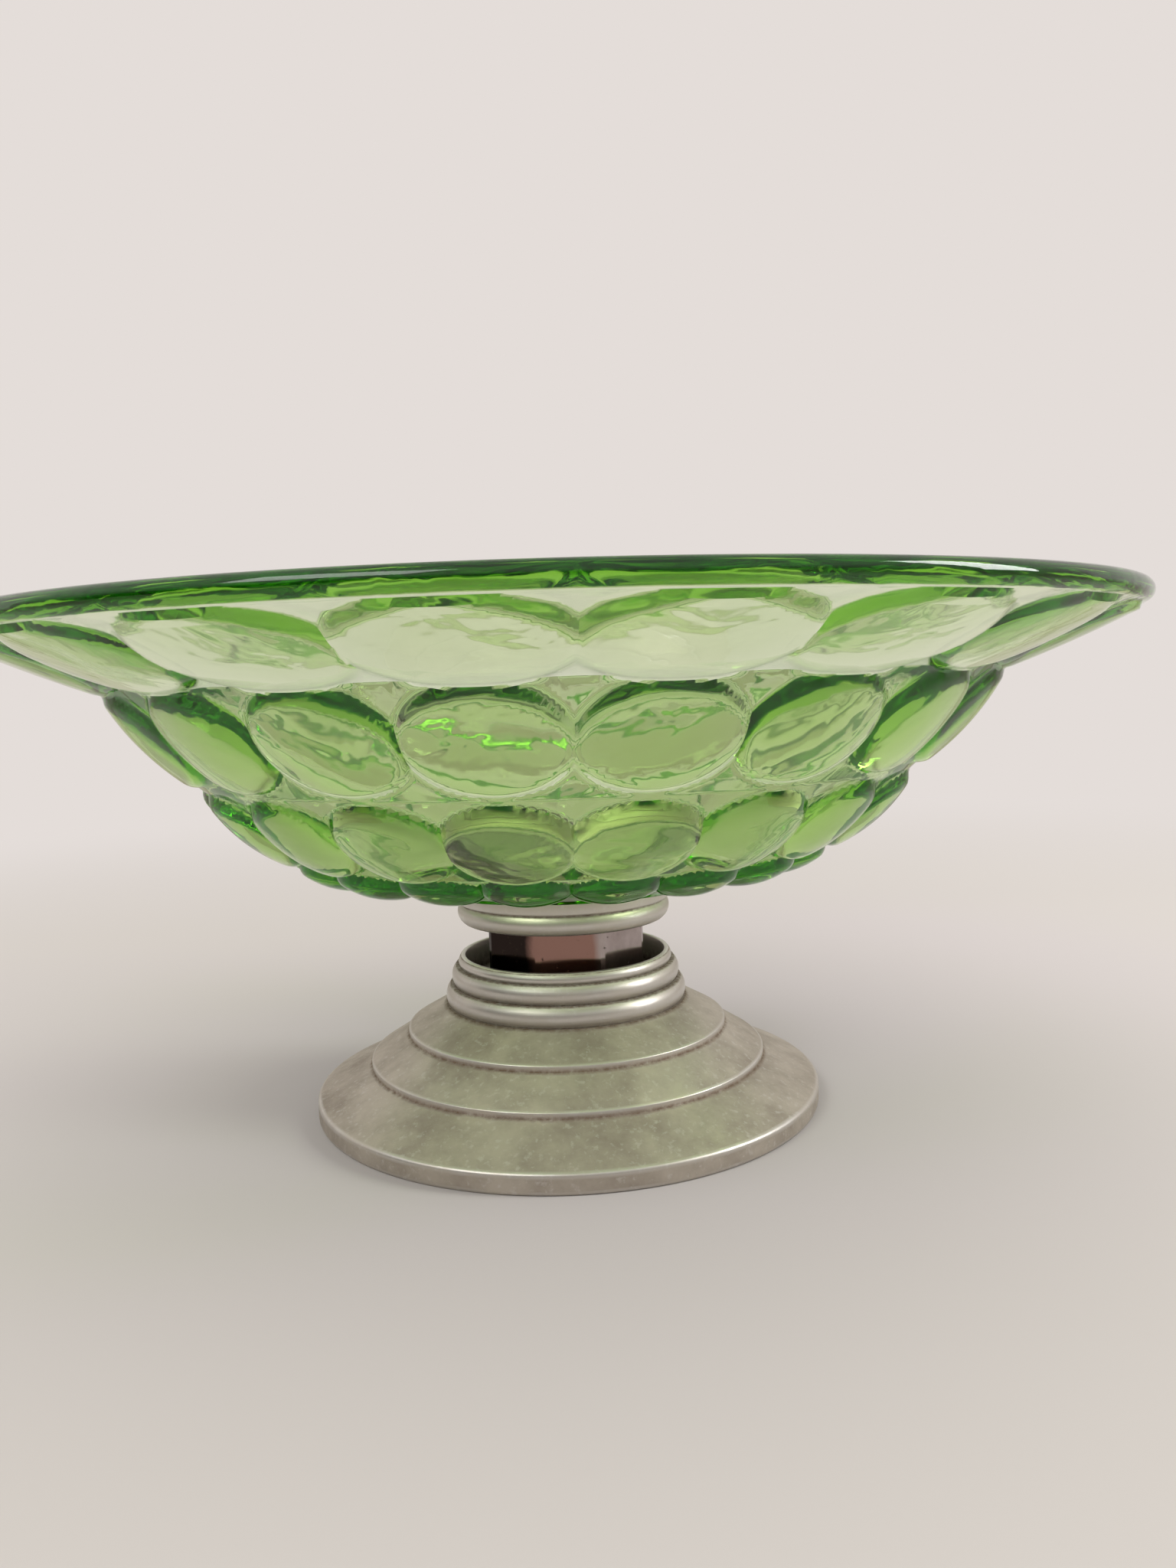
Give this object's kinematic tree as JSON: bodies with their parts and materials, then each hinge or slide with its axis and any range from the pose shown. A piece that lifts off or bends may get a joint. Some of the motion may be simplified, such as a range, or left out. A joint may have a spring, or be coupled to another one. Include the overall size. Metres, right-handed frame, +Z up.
{
  "type": "footed glass bowl",
  "caption": "Wide pressed glass fruit bowl with rows of round lenses, bolted to a stepped metal foot by an octagonal neck.",
  "frame": {"origin": "on the surface the foot stands on, under the bowl's axis", "axes": "+Z up along the bowl's axis; a seam between two columns of lenses faces -Y"},
  "size_m": [0.3, 0.3, 0.1358],
  "materials": {
    "green_glass": "clear green pressed glass, fire polished",
    "chromed_steel": "polished chrome, slightly tarnished",
    "turned_aluminium": "turned, worn bright on the beads, dirt in the grooves",
    "cast_aluminium": "matte oxidised, faint turning marks",
    "plain_steel": "zinc plated, dull",
    "rubber_seal": "matte black rubber"
  },
  "bodies": {
    "root": {"glass_bowl": "green_glass", "tie_bolt": "chromed_steel", "top_washer": "chromed_steel", "upper_seal": "rubber_seal", "lower_seal": "rubber_seal", "collar": "turned_aluminium", "neck": "chromed_steel", "cup_ring": "turned_aluminium", "foot": "cast_aluminium", "base_washer": "plain_steel", "lock_washer": "plain_steel", "base_nut": "plain_steel"}
  },
  "joints": []
}
